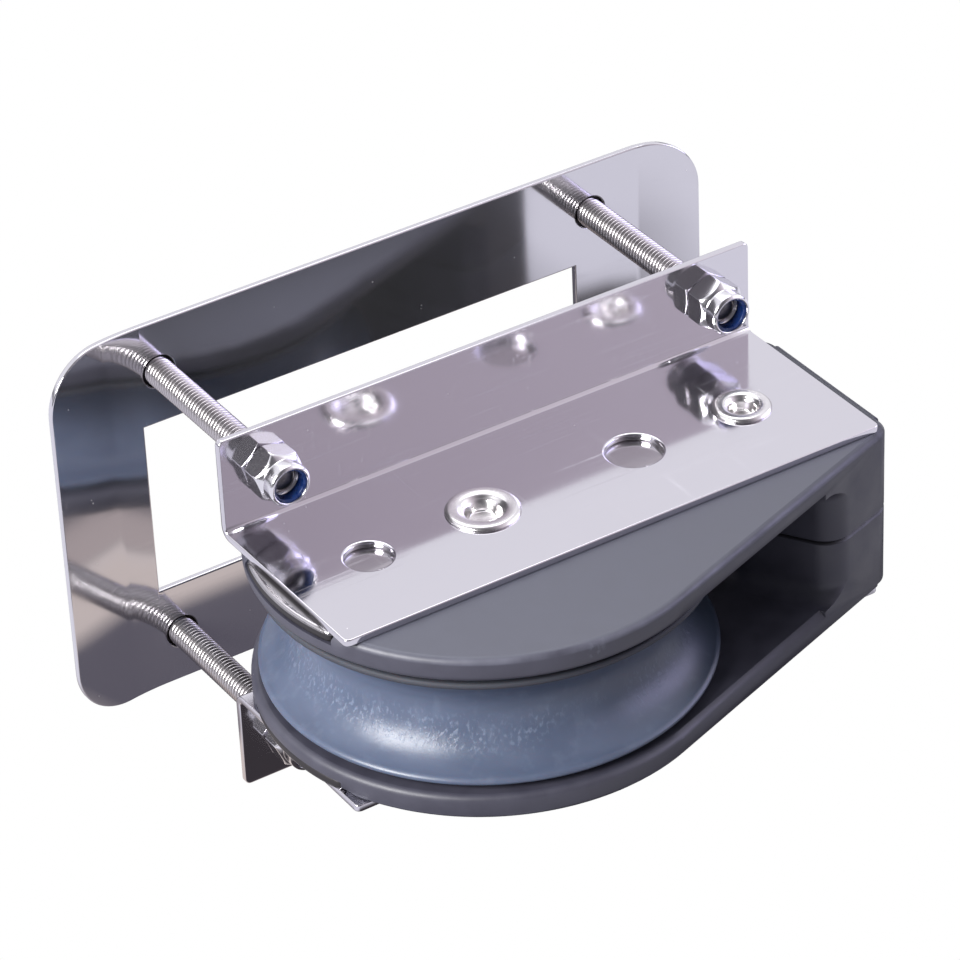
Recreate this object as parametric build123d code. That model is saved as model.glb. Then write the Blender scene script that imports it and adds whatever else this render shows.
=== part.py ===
from build123d import *
import math
import os

# Recessed sheave block with its face plate, in millimetres.
# The origin is the centre of the four panel screws, on the rear face of the plate.
# +X runs along the plate, +Y points out through its front, +Z is along the axle.

# Face plate: polished sheet with an oblong window and two bent end strips
plate_length = 126.0
plate_height = 70.2
plate_t = 1.2
plate_corner_r = 10.0
crease_x = 51.5
end_drop = 2.2
window_length = 84.2
window_height = 32.4
window_shift = -3.5

# Panel screws: M5 pan heads with a cross recess, threaded to the head
screw_pitch_x = 84.0
screw_pitch_z = 51.5
screw_d = 5.0
screw_past_flange = 4.7
screw_tip = 0.6
head_d = 9.5
head_h = 3.2
recess_length = 4.8
recess_width = 1.1
recess_depth = 1.7
plate_hole_play = 0.4

# Lock nuts: hexagon with a round collar that holds a nylon ring
nut_across_flats = 8.0
nut_height = 7.2
nut_hex_height = 4.3
nut_collar_d = 7.3
nut_lip_d = 5.9
nut_lip_t = 0.35
nut_edge = 0.55
thread_play = 0.05
ring_d = 6.5
ring_height = 2.0
ring_play = 0.02

# Brackets: two equal angles of thin sheet, flange to the plate, web on the cheek
clamp_reach = 34.1
sheet_t = 1.25
bend_inner_r = 0.9
bracket_length = 100.8
bracket_corner_r = 1.0
flange_margin = 7.5
web_depth = 35.9
flange_hole_play = 0.3

# Block: axle and tail rivet stand on the middle line of the web
axle_offset = 18.6
inner_hole_x = 14.4
outer_hole_x = 35.6

# Sheave with its hub, its rope groove and a hollow in each side
sheave_d = 74.0
rim_width = 19.4
rim_land = 0.9
groove_depth = 6.5
hub_width = 21.2
hub_d = 24.0
side_hollow_depth = 2.6
side_hollow_outer_d = 56.0
edge_round = 0.5
hub_play = 0.3
bore_play = 0.05

# Cheeks: teardrop mouldings, each with half of the tail boss, which is blended into
# the cheek at its foot and has a fine chamfer at the seam between the halves
cheek_t = 4.25
cheek_r = 38.3
tail_reach = 66.8
tail_half_width = 18.4
tail_corner_r = 5.0
cheek_outer_edge = 1.1
cheek_inner_edge = 1.1
boss_wall = 6.0
boss_flat = 8.0
boss_slant = 6.5
boss_corner_r = 5.0
boss_foot_r = 3.0
seam_edge = 0.4

# Straps: polished steel let into the outer side of each cheek, under the web
strap_r = 38.1
strap_width = 25.0
strap_t = 2.0
strap_corner_r = 1.5
strap_beyond_tail = 9.0
strap_play = 0.3

# Rivets, their ends drilled and rolled over, and the sleeve that keeps the cheeks apart
axle_pin_d = 9.2
axle_cup_d = 7.0
axle_head_d = 12.6
axle_mouth_d = 8.4
tail_pin_d = 7.6
tail_cup_d = 5.0
tail_head_d = 10.1
tail_mouth_d = 6.2
rivet_head_h = 1.0
rivet_cup_depth = 3.6
rivet_play = 0.1
sleeve_d = 12.0

# Places that follow from the sizes above
screw_length = plate_t + clamp_reach + screw_past_flange
cheek_inner_z = hub_width / 2 + hub_play
cheek_outer_z = cheek_inner_z + cheek_t
web_outer_z = cheek_outer_z + sheet_t
flange_edge_z = screw_pitch_z / 2 + flange_margin
flange_front_y = sheet_t - clamp_reach
axle_y = -(clamp_reach + axle_offset)
web_edge_y = -(clamp_reach + web_depth)
axle_x = -inner_hole_x
tail_x = outer_hole_x
tail_at = tail_x - axle_x
strap_low_z = cheek_outer_z - strap_t
strap_end = tail_at + strap_beyond_tail
screw_places = {
    "upper_left": (-screw_pitch_x / 2, screw_pitch_z / 2),
    "upper_right": (screw_pitch_x / 2, screw_pitch_z / 2),
    "lower_left": (-screw_pitch_x / 2, -screw_pitch_z / 2),
    "lower_right": (screw_pitch_x / 2, -screw_pitch_z / 2),
}


def revolved(points_or_edges):
    """Turn a closed profile of radius and height about the Z axis."""
    return revolve(Plane.XZ * make_face(points_or_edges), Axis.Z)


def tube(outer_r, inner_r, low, high):
    """A plain tube about the Z axis between two heights."""
    ring = Circle(outer_r) - Circle(inner_r)
    return Pos(0, 0, low) * extrude(ring, high - low)


def screw_frame(x, z, y):
    """A plane on a screw's axis, its normal pointing back towards the block."""
    return Plane(origin=(x, y, z), x_dir=(1, 0, 0), z_dir=(0, -1, 0))


def face_plate():
    half = plate_length / 2
    slope = Vector(half - crease_x, -end_drop).normalized()
    shift = plate_t * math.tan(math.radians(slope.get_angle(Vector(1, 0))) / 2)
    front_end = Vector(half, -end_drop) + Vector(-slope.Y, slope.X) * plate_t
    right = [(crease_x, 0), (half, -end_drop), (front_end.X, front_end.Y), (crease_x + shift, plate_t)]
    left = [(-x, y) for x, y in reversed(right)]
    section = make_face(Polyline(*right, *left, close=True))
    sheet = Pos(0, 0, -plate_height / 2) * extrude(section, plate_height)
    outline = RectangleRounded(plate_length, plate_height, plate_corner_r)
    cutter = Plane.XZ * extrude(outline, 2 * plate_length, both=True)
    sheet = sheet & cutter
    window = Pos(window_shift, 0, 0) * Box(window_length, 4 * plate_t, window_height)
    sheet -= window
    for x, z in screw_places.values():
        hole = Cylinder(screw_d / 2 + plate_hole_play, 4 * plate_t)
        sheet -= Pos(x, 0, z) * Rot(90, 0, 0) * hole
    return sheet


def panel_screw(x, z):
    shank_r = screw_d / 2
    head_r = head_d / 2
    screw = revolved(Polyline(
        (0, -head_h), (0.45 * head_r, -head_h), (0.72 * head_r, -0.88 * head_h),
        (0.92 * head_r, -0.62 * head_h), (head_r, -0.25 * head_h), (head_r, 0), (shank_r, 0),
        (shank_r, screw_length - screw_tip), (shank_r - screw_tip, screw_length),
        (0, screw_length), close=True))
    slot = Pos(0, 0, -head_h) * Box(recess_length, recess_width, 2 * recess_depth)
    screw -= slot + Rot(0, 0, 90) * slot
    return screw_frame(x, z, plate_t).location * screw


def lock_nut(x, z):
    flat_r = nut_across_flats / 2
    corner_r = flat_r / math.cos(math.pi / 6)
    collar_r = nut_collar_d / 2
    hexagon = extrude(RegularPolygon(flat_r, 6, major_radius=False), nut_hex_height)
    turned = revolved(Polyline(
        (0, 0), (flat_r, 0), (corner_r, nut_edge), (corner_r, nut_hex_height - 2 * nut_edge),
        (collar_r, nut_hex_height), (0, nut_hex_height), close=True))
    nut = hexagon & turned
    nut += revolved(Polyline(
        (0, nut_hex_height / 2), (collar_r, nut_hex_height / 2), (collar_r, nut_height - nut_edge),
        (collar_r - nut_edge, nut_height), (0, nut_height), close=True))
    nut -= Cylinder(screw_d / 2 + thread_play, 4 * nut_height)
    ring_top = nut_height - nut_lip_t
    pocket = ring_d / 2 + ring_play
    nut -= tube(pocket, 0.5 * screw_d, ring_top - ring_height, ring_top)
    nut -= tube(nut_lip_d / 2, 0.5 * screw_d, ring_top - nut_lip_t, nut_height + nut_lip_t)
    return screw_frame(x, z, -clamp_reach).location * nut


def nylon_ring(x, z):
    ring_top = nut_height - nut_lip_t
    ring = tube(ring_d / 2, screw_d / 2 + thread_play, ring_top - ring_height, ring_top)
    return screw_frame(x, z, -clamp_reach).location * ring


def upper_bracket():
    inner_y = -clamp_reach
    under_z = cheek_outer_z
    outer_r = bend_inner_r + sheet_t
    section = make_face(Polyline(
        (web_edge_y, under_z), (flange_front_y, under_z), (flange_front_y, flange_edge_z),
        (inner_y, flange_edge_z), (inner_y, web_outer_z), (web_edge_y, web_outer_z), close=True))
    blank = Plane.YZ * extrude(section, bracket_length / 2, both=True)
    along = blank.edges().filter_by(Axis.X)
    outside = along.sort_by_distance((0, flange_front_y, under_z))[0]
    blank = fillet(outside, outer_r)
    along = blank.edges().filter_by(Axis.X)
    inside = along.sort_by_distance((0, inner_y, web_outer_z))[0]
    blank = fillet(inside, bend_inner_r)
    corners = [e for e in blank.edges().filter_by(Axis.Y)
               if e.center().Z > flange_edge_z - sheet_t]
    corners += [e for e in blank.edges().filter_by(Axis.Z)
                if e.center().Y < web_edge_y + sheet_t]
    blank = fillet(corners, bracket_corner_r)
    for side in (-1, 1):
        screw_hole = Cylinder(screw_d / 2 + flange_hole_play, 4 * sheet_t)
        place = Pos(side * screw_pitch_x / 2, inner_y, screw_pitch_z / 2)
        blank -= place * Rot(90, 0, 0) * screw_hole
        axle_hole = Cylinder(axle_pin_d / 2 + rivet_play, 4 * sheet_t)
        blank -= Pos(side * inner_hole_x, axle_y, web_outer_z) * axle_hole
        tail_hole = Cylinder(tail_pin_d / 2 + rivet_play, 4 * sheet_t)
        blank -= Pos(side * outer_hole_x, axle_y, web_outer_z) * tail_hole
    return blank


def cheek_outline():
    """Teardrop about the axle: a large round end hulled with two tail corners."""
    corner_x = tail_reach - tail_corner_r
    corner_y = tail_half_width - tail_corner_r
    with BuildSketch() as outline:
        Circle(cheek_r)
        with Locations((corner_x, corner_y), (corner_x, -corner_y)):
            Circle(tail_corner_r)
        make_hull()
    return outline.sketch


def rivet_holes():
    """The two holes that the cheek and the strap share, at their own axle."""
    height = 4 * web_outer_z
    axle_hole = Cylinder(axle_pin_d / 2 + rivet_play, height)
    tail_hole = Pos(tail_at, 0, 0) * Cylinder(tail_pin_d / 2 + rivet_play, height)
    return axle_hole + tail_hole


def tail_boss(outline):
    """The upper half of the boss, its foot blended into the cheek's inner face.

    It fills the chamfer of the cheek's inner rim as far as the foot reaches.
    """
    back = tail_at - boss_wall
    wide = tail_reach
    slope = boss_slant / (tail_half_width - boss_flat)
    far_x = back + slope * (wide - boss_flat)
    post = make_face(Polyline(
        (back, boss_flat), (back, -boss_flat), (far_x, -wide), (2 * wide, -wide), (2 * wide, wide),
        (far_x, wide), close=True))
    plan = outline & post
    front = [v for v in plan.vertices() if v.X < tail_reach - tail_corner_r]
    plan = fillet(front, boss_corner_r)
    ground = Pos(0, 0, cheek_inner_z) * extrude(Rectangle(4 * wide, 4 * wide), cheek_t)
    blank = extrude(plan, cheek_inner_z) + ground
    level = blank.edges().filter_by_position(Axis.Z, cheek_inner_z, cheek_inner_z)
    foot = level.sort_by(SortBy.LENGTH)[:-4]
    boss = fillet(foot, boss_foot_r) & extrude(outline, cheek_inner_z)
    boss = chamfer(boss.edges().group_by(Axis.Z)[0], seam_edge)
    filled = offset(post, boss_foot_r) & outline
    return boss + Pos(0, 0, cheek_inner_z) * extrude(filled, cheek_inner_edge)


def upper_cheek():
    outline = cheek_outline()
    side = Pos(0, 0, cheek_inner_z) * extrude(outline, cheek_t)
    side = chamfer(side.edges().group_by(Axis.Z)[-1], cheek_outer_edge)
    side = chamfer(side.edges().group_by(Axis.Z)[0], cheek_inner_edge)
    cheek = side + tail_boss(outline) - rivet_holes()
    pocket_end = strap_end + strap_play
    pocket_length = pocket_end + 2 * cheek_r
    pocket = Rectangle(pocket_length, strap_width + 2 * strap_play)
    inner_corners = pocket.vertices().group_by(Axis.X)[-1]
    pocket = fillet(inner_corners, strap_corner_r + strap_play)
    place = Pos(pocket_end - pocket_length / 2, 0, strap_low_z)
    cheek -= place * extrude(pocket, 2 * strap_t)
    return Pos(axle_x, axle_y, 0) * cheek


def upper_strap():
    square = Pos(strap_end / 2, 0) * Rectangle(strap_end, strap_width)
    band = Rectangle(2 * strap_end, strap_width)
    plan = (Circle(strap_r) & band) + square
    plan = fillet(plan.vertices(), strap_corner_r)
    strap = Pos(0, 0, strap_low_z) * extrude(plan, strap_t) - rivet_holes()
    return Pos(axle_x, axle_y, 0) * strap


def sheave():
    rim_r = sheave_d / 2
    half_rim = rim_width / 2
    half_hub = hub_width / 2
    mouth = half_rim - rim_land
    floor_z = half_rim - side_hollow_depth
    hollow_in = hub_d / 2
    hollow_out = side_hollow_outer_d / 2
    bore_r = sleeve_d / 2 + bore_play
    slope = side_hollow_depth
    upper = Polyline(
        (bore_r, half_hub), (hollow_in, half_hub), (hollow_in, floor_z), (hollow_out, floor_z),
        (hollow_out + slope, half_rim), (rim_r - edge_round, half_rim),
        (rim_r, half_rim - edge_round), (rim_r, mouth))
    groove = ThreePointArc((rim_r, mouth), (rim_r - groove_depth, 0), (rim_r, -mouth))
    lower = Polyline(
        (rim_r, -mouth), (rim_r, edge_round - half_rim), (rim_r - edge_round, -half_rim),
        (hollow_out + slope, -half_rim), (hollow_out, -floor_z), (hollow_in, -floor_z),
        (hollow_in, -half_hub), (bore_r, -half_hub), (bore_r, half_hub))
    wheel = revolved(upper + groove + lower)
    return Pos(axle_x, axle_y, 0) * wheel


def axle_sleeve():
    sleeve = tube(sleeve_d / 2, axle_pin_d / 2 + rivet_play, -cheek_inner_z, cheek_inner_z)
    return Pos(axle_x, axle_y, 0) * sleeve


def cupped_rivet(x, pin_d, cup_d, head_d, mouth_d):
    """A pin whose drilled ends are rolled over the webs in broad, flat heads."""
    pin_r, cup_r, head_r, mouth_r = pin_d / 2, cup_d / 2, head_d / 2, mouth_d / 2
    top = web_outer_z + rivet_head_h
    floor_z = top - rivet_cup_depth
    upper = revolved(Polyline(
        (0, 0), (0, floor_z), (0.7 * cup_r, floor_z), (cup_r, floor_z + 0.3 * cup_r),
        (cup_r, web_outer_z), (mouth_r, top - 0.15 * rivet_head_h),
        (mouth_r + 0.25 * (head_r - mouth_r), top), (head_r - 0.4 * (head_r - mouth_r), top),
        (head_r, web_outer_z + 0.4 * rivet_head_h), (head_r, web_outer_z), (pin_r, web_outer_z),
        (pin_r, 0), close=True))
    rivet = upper + mirror(upper, about=Plane.XY)
    return Pos(x, axle_y, 0) * rivet


pieces = {
    "face_plate": face_plate(),
    "upper_bracket": upper_bracket(),
    "upper_cheek": upper_cheek(),
    "upper_strap": upper_strap(),
    "sheave": sheave(),
    "axle_sleeve": axle_sleeve(),
    "axle_rivet": cupped_rivet(axle_x, axle_pin_d, axle_cup_d, axle_head_d, axle_mouth_d),
    "tail_rivet": cupped_rivet(tail_x, tail_pin_d, tail_cup_d, tail_head_d, tail_mouth_d),
}
for part_name in ("bracket", "cheek", "strap"):
    pieces["lower_" + part_name] = mirror(pieces["upper_" + part_name], about=Plane.XY)
for corner, (screw_x, screw_z) in screw_places.items():
    pieces["screw_" + corner] = panel_screw(screw_x, screw_z)
    pieces["lock_nut_" + corner] = lock_nut(screw_x, screw_z)
    pieces["nylon_ring_" + corner] = nylon_ring(screw_x, screw_z)

os.makedirs("parts", exist_ok=True)
for name, piece in pieces.items():
    export_step(piece, "parts/" + name + ".step")
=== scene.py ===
import math

import bmesh
import bpy
from mathutils import Matrix, Vector


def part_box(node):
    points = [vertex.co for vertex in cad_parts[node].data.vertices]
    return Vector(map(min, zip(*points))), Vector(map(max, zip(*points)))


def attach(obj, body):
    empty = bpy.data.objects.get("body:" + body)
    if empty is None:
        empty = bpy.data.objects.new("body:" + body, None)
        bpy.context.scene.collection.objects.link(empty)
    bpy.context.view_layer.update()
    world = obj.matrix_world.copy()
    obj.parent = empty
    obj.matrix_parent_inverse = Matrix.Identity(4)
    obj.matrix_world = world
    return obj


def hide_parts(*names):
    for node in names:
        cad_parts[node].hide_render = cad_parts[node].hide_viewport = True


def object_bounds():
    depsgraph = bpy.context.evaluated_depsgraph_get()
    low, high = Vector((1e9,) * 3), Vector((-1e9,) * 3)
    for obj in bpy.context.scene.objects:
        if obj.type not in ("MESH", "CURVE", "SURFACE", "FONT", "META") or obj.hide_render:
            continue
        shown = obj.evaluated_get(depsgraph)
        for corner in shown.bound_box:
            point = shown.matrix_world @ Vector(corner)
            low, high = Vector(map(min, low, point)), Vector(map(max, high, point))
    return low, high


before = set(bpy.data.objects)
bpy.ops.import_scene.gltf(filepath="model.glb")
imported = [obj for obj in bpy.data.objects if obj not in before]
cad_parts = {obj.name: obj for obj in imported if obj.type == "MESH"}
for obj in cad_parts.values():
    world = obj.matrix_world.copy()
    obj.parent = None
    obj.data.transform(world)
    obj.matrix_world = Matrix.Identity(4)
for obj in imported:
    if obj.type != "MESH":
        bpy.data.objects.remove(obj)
cad_low, cad_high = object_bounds()


# Studio: a plain white table and white surroundings, as in a catalogue picture.
# To the camera both are white. Polished faces see a bright wall behind, and in front one
# that is dark at the left and bright at the right. Most of the light comes from the left.
mm = 0.001
scene = bpy.context.scene
scene.view_settings.view_transform = "Standard"
scene.view_settings.look = "None"


class Wiring:
    """The nodes and wires of one tree. Its tools give back what they add."""

    def __init__(self, tree):
        self.tree = tree

    def add(self, kind, **values):
        """A new node, with the values of its named sockets."""
        made = self.tree.nodes.new(kind)
        for socket, value in values.items():
            made.inputs[socket].default_value = value
        return made

    def link(self, source, target):
        """Wire an output to an input."""
        self.tree.links.new(source, target)

    def reckon(self, kind, operation, terms):
        """A node that works on plain values or sockets."""
        made = self.add(kind)
        made.operation = operation
        for socket, term in zip(made.inputs, terms):
            if isinstance(term, (int, float, tuple)):
                socket.default_value = term
            else:
                self.link(term, socket)
        return made

    def math(self, operation, *terms, clamp=False):
        """One arithmetic step."""
        made = self.reckon("ShaderNodeMath", operation, terms)
        made.use_clamp = clamp
        return made.outputs[0]

    def vector_math(self, operation, *terms):
        """One step on vectors; gives the vector and the value."""
        return self.reckon("ShaderNodeVectorMath", operation, terms).outputs

    def split(self, vector):
        """The three parts of a vector."""
        made = self.add("ShaderNodeSeparateXYZ")
        self.link(vector, made.inputs[0])
        return made.outputs[:]

    def join(self, *parts):
        """A vector from its parts."""
        made = self.add("ShaderNodeCombineXYZ")
        for part, socket in zip(parts, made.inputs):
            self.link(part, socket)
        return made.outputs[0]

    def between(self, value, low, high, low_to=0.0, high_to=1.0):
        """Map a value between two limits to two others, clamped."""
        made = self.add("ShaderNodeMapRange",
                        **{"From Min": low, "From Max": high, "To Min": low_to, "To Max": high_to})
        self.link(value, made.inputs["Value"])
        return made.outputs[0]

    def blend(self, factor, first, second):
        """Blend two tones; each is a colour or a socket."""
        made = self.add("ShaderNodeMix")
        made.data_type = "RGBA"
        self.link(factor, made.inputs["Factor"])
        for name, tone in (("A", first), ("B", second)):
            if isinstance(tone, tuple):
                made.inputs[name].default_value = (*tone, 1)
            else:
                self.link(tone, made.inputs[name])
        return made.outputs["Result"]

    def choose(self, factor, first, second):
        """Mix two shaders."""
        made = self.add("ShaderNodeMixShader")
        for source, socket in zip((factor, first, second), made.inputs):
            self.link(source, socket)
        return made.outputs[0]

    def rays(self):
        """Whether a ray comes from the camera, and from a mirror with no matte face between."""
        path = self.add("ShaderNodeLightPath").outputs
        no_matte = self.math("LESS_THAN", path["Diffuse Depth"], 0.5)
        return path["Is Camera Ray"], self.math("MULTIPLY", path["Is Glossy Ray"], no_matte)


def placed(name, data):
    """An object with its data, put in the scene."""
    made = bpy.data.objects.new(name, data)
    scene.collection.objects.link(made)
    return made


white = (1, 1, 1, 1)
back_wall = (0.99, 0.98, 1.05)
front_wall = {0.40: (0.11, 0.105, 0.12), 0.55: (0.27, 0.25, 0.28), 0.70: (0.69, 0.62, 0.70),
              0.76: (0.88, 0.81, 0.90), 0.84: (1.5, 1.46, 1.53)}
low_band = (0.035, 0.033, 0.045)
room_tone = (0.92, 0.94, 1.0, 1)
room_dim, room_bright = 0.10, 0.60
key_way = (-0.85, -0.13, 0.51)
world = bpy.data.worlds.new("white_room")
world.use_nodes = True
world.node_tree.nodes.clear()
scene.world = world
wire = Wiring(world.node_tree)
way = wire.add("ShaderNodeTexCoord").outputs["Generated"]
x_way, y_way, z_way = wire.split(way)
front = wire.add("ShaderNodeValToRGB")
wire.link(wire.math("MULTIPLY_ADD", x_way, 0.5, 0.5), front.inputs[0])
stops = front.color_ramp.elements
stops.remove(stops[0])
for stop, (spot, tone) in enumerate(front_wall.items()):
    if stop:
        stops.new(spot)
    stops[stop].position = spot
    stops[stop].color = (*tone, 1)
walls = wire.blend(wire.between(y_way, -0.25, 0.25), front.outputs[0], back_wall)
walls = wire.blend(wire.between(z_way, -0.02, 0.15), low_band, walls)
mirrored = wire.add("ShaderNodeBackground")
wire.link(walls, mirrored.inputs["Color"])
toward_key = wire.vector_math("DOT_PRODUCT", way, key_way)["Value"]
lit = wire.add("ShaderNodeBackground", Color=room_tone)
wire.link(wire.between(toward_key, -0.7, 1.0, room_dim, room_bright), lit.inputs["Strength"])
seen = wire.add("ShaderNodeBackground", Color=white)
from_camera, from_mirror = wire.rays()
unseen = wire.choose(from_mirror, lit.outputs[0], mirrored.outputs[0])
wire.link(wire.choose(from_camera, unseen, seen.outputs[0]), wire.add("ShaderNodeOutputWorld").inputs[0])

# In polished faces the table shows painted shadow under the block and at the plate's foot,
# and a painted pool of warm light between them.
table_gap = 0.3 * mm
table_reach = 0.7
table_glow = 0.25
table_tone, warm_light_tone = (0.90, 0.89, 1.0), (0.80, 0.70, 0.66)
foot_shadow_tone, under_shadow_tone = (0.14, 0.13, 0.165), (0.055, 0.048, 0.055)
table_z = cad_low.z - table_gap
table_mesh = bpy.data.meshes.new("table_top")
table_mesh.from_pydata(
    [(x * table_reach, y * table_reach, table_z) for x, y in ((-1, -1), (1, -1), (1, 1), (-1, 1))],
    [], [(0, 1, 2, 3)])
table_top = placed("table_top", table_mesh)
paper = bpy.data.materials.new("white_paper")
paper.use_nodes = True
paper.node_tree.nodes.clear()
wire = Wiring(paper.node_tree)
along, from_plate, _ = wire.split(wire.add("ShaderNodeTexCoord").outputs["Object"])
nearby = wire.between(from_plate, -66 * mm, -58 * mm)
reach = wire.math("MULTIPLY_ADD", nearby, -50 * mm, along)
beside = wire.math("MULTIPLY", wire.between(along, -70 * mm, -54 * mm),
                   wire.between(reach, 50 * mm, 85 * mm, 1, 0))
warm_light = wire.math("MULTIPLY", beside, wire.between(from_plate, -60 * mm, -30 * mm))
foot_shadow = wire.math("MULTIPLY", beside, wire.between(from_plate, -22 * mm, -17 * mm))
under = wire.math("MULTIPLY", beside, wire.between(from_plate, -37 * mm, -33.5 * mm, 1, 0))
under = wire.math("MULTIPLY", under, wire.between(from_plate, -115 * mm, -90 * mm))
# Painted warm light, then painted shadow at the plate's foot and under the block.
shade = wire.blend(warm_light, table_tone, warm_light_tone)
shade = wire.blend(foot_shadow, shade, foot_shadow_tone)
shade = wire.blend(under, shade, under_shadow_tone)
from_camera, from_mirror = wire.rays()
shaded = wire.add("ShaderNodeEmission")
wire.link(shade, shaded.inputs["Color"])
wire.link(wire.math("MULTIPLY_ADD", from_mirror, 1 - table_glow, table_glow), shaded.inputs["Strength"])
plain = wire.add("ShaderNodeEmission", Color=white)
wire.link(wire.choose(from_camera, shaded.outputs[0], plain.outputs[0]),
          wire.add("ShaderNodeOutputMaterial").inputs[0])
table_mesh.materials.append(paper)


lit_spot = Vector((0, -0.04, 0))


def soft_lamp(name, toward, distance, width, height, power, tint=(1, 1, 1)):
    """A soft box that stands in a direction from the part and faces it."""
    lamp = bpy.data.lights.new(name, "AREA")
    lamp.shape = "RECTANGLE"
    lamp.size, lamp.size_y = width, height
    lamp.energy = power
    lamp.color = tint
    holder = placed(name, lamp)
    back = Vector(toward).normalized()
    holder.location = lit_spot + back * distance
    holder.rotation_mode = "QUATERNION"
    holder.rotation_quaternion = (-back).to_track_quat("-Z", "Y")
    return holder


soft_lamp("key_lamp", key_way, distance=0.9, width=0.42, height=0.42, power=15.0)
soft_lamp("top_lamp", (0.15, 0.45, 0.88), distance=1.0, width=0.7, height=0.5, power=2.5,
          tint=(0.96, 0.96, 1.0))
side_lamp = soft_lamp("side_lamp", (0.88, -0.36, 0.30), distance=0.9, width=0.75, height=0.4, power=2.8,
                      tint=(0.60, 0.57, 1.0))
side_lamp.visible_diffuse = False

# The camera stands where the photograph was taken from.
azimuth, elevation, roll = (math.radians(a) for a in (-31.577, 33.810, -2.664))
camera_away, aim_right, aim_down = 0.79092, 0.015574, 0.0100075
focal_length, film_width = 176.34, 36.0
back = Vector((math.sin(azimuth) * math.cos(elevation), -math.cos(azimuth) * math.cos(elevation),
               math.sin(elevation)))
level = (-back).cross(Vector((0, 0, 1))).normalized()
upright = level.cross(-back)
right = math.cos(roll) * level + math.sin(roll) * upright
up = -math.sin(roll) * level + math.cos(roll) * upright
lens = bpy.data.cameras.new("camera")
lens.lens = focal_length
lens.sensor_width = film_width
lens.clip_start, lens.clip_end = 0.05, 20.0
camera = placed("camera", lens)
place = back * camera_away + right * aim_right - up * aim_down
camera.matrix_world = Matrix.Translation(place) @ Matrix((right, up, back)).transposed().to_4x4()
scene.camera = camera


# Face plate: one stamping of polished stainless sheet, 1.2 mm thick, with an oblong
# window and four screw holes. Its two end strips are bent back a little, each after a
# slight lead. It is as bright as a mirror, with hairline scratches and specks of dust.
plate_low, plate_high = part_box("face_plate")
plate_t = 1.2 * mm
plate_corner = 10.0 * mm
plate_crease = 51.5 * mm
plate_bend = 0.5 * mm
plate_lead = 6.5 * mm
lead_slopes = {-1: 0.12, 1: 0.03}
plate_drop = 2.2 * mm
plate_edge = 0.28 * mm
plate_hole_r = 2.9 * mm
window_low = Vector((-45.6, -16.2)) * mm
window_high = Vector((38.6, 16.2)) * mm


def arc(centre, radius, start, stop, pieces):
    """Points on an arc, its angles in degrees."""
    turns = [math.radians(start + (stop - start) * i / pieces) for i in range(pieces + 1)]
    return [Vector((centre[0] + radius * math.cos(a), centre[1] + radius * math.sin(a))) for a in turns]


def round_hole(x, y, radius, pieces=56):
    """A hole's loop, run the other way round from an outline."""
    return arc((x, y), radius, 360, 0, pieces)[:-1]


def rounded_box(low, high, radius, pieces=12):
    """A rectangle's outline with four equal round corners."""
    (x0, y0), (x1, y1) = low, high
    loop = []
    for x, y, start in ((x1 - radius, y0 + radius, -90), (x1 - radius, y1 - radius, 0),
                        (x0 + radius, y1 - radius, 90), (x0 + radius, y0 + radius, 180)):
        loop += arc((x, y), radius, start, start + 90, pieces)
    return loop


def moved_in(loop, distance):
    """The loop with each side moved towards the metal."""
    moved = []
    for i, point in enumerate(loop):
        into = (point - loop[i - 1]).normalized()
        away = (loop[(i + 1) % len(loop)] - point).normalized()
        side = Vector((-into.y - away.y, into.x + away.x))
        moved.append(point + side * distance / max(0.2, 1 + into.dot(away)))
    return moved


def skin(work, rings):
    """Faces between each ring of points and the next."""
    return [work.faces.new((ring[k - 1], ring[k], following[k], following[k - 1]))
            for ring, following in zip(rings, rings[1:]) for k in range(len(ring))]


def sheet_blank(loops, edges, thickness, cuts=(), in_shade=()):
    """A flat sheet with rounded edges, its faces cut along the lines where it will bend.

    The first loop is the outline and the others are holes; each has its own edge radius.
    A cut is a point and a normal in the sheet's plane. The walls of the loops whose
    numbers come last carry painted shade, darker than the polish.
    """
    steps = 4
    work = bmesh.new()
    painted_shade = work.verts.layers.float.new("painted_shade")
    rims = ([], [])
    for number, (loop, edge) in enumerate(zip(loops, edges)):
        quarter = [(edge * (1 - math.sin(a)), edge * (1 - math.cos(a)))
                   for a in (math.pi / 2 * k / steps for k in range(steps + 1))]
        path = quarter + [(inset, thickness - rise) for inset, rise in reversed(quarter)]
        rings = []
        for inset, rise in path:
            rings.append([work.verts.new((p.x, p.y, rise)) for p in moved_in(loop, inset)])
        for ring in rings[steps:steps + 2]:
            for vertex in ring:
                vertex[painted_shade] = float(number in in_shade)
        for face in skin(work, rings):
            face.smooth = True
        for rim, ring in zip(rims, (rings[0], rings[-1])):
            rim += [work.edges.get((ring[i - 1], ring[i])) for i in range(len(ring))]
    for rim in rims:
        bmesh.ops.triangle_fill(work, edges=rim, use_beauty=True)
    for point, normal in cuts:
        bmesh.ops.bisect_plane(work, geom=work.verts[:] + work.edges[:] + work.faces[:],
                               plane_co=point, plane_no=normal)
    return work


def as_piece(name, work, material, slot, body, *nodes):
    """Turn a finished mesh into a piece that rides on a body and stands for CAD nodes."""
    bmesh.ops.recalc_face_normals(work, faces=work.faces)
    if work.calc_volume(signed=True) < 0:
        bmesh.ops.reverse_faces(work, faces=work.faces)
    mesh = bpy.data.meshes.new(name)
    work.to_mesh(mesh)
    work.free()
    mesh.materials.append(material)
    piece = placed(name, mesh)
    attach(piece, body)
    if nodes:
        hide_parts(*nodes)
    return piece


def noise(wire, vector, scale, detail=2.0, stretch=None):
    """A noise texture, stretched along an axis where a pattern runs one way."""
    if stretch:
        pull = wire.add("ShaderNodeMapping", Scale=stretch)
        wire.link(vector, pull.inputs["Vector"])
        vector = pull.outputs[0]
    made = wire.add("ShaderNodeTexNoise", Scale=scale, Detail=detail)
    wire.link(vector, made.inputs["Vector"])
    return made.outputs[0]


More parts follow.
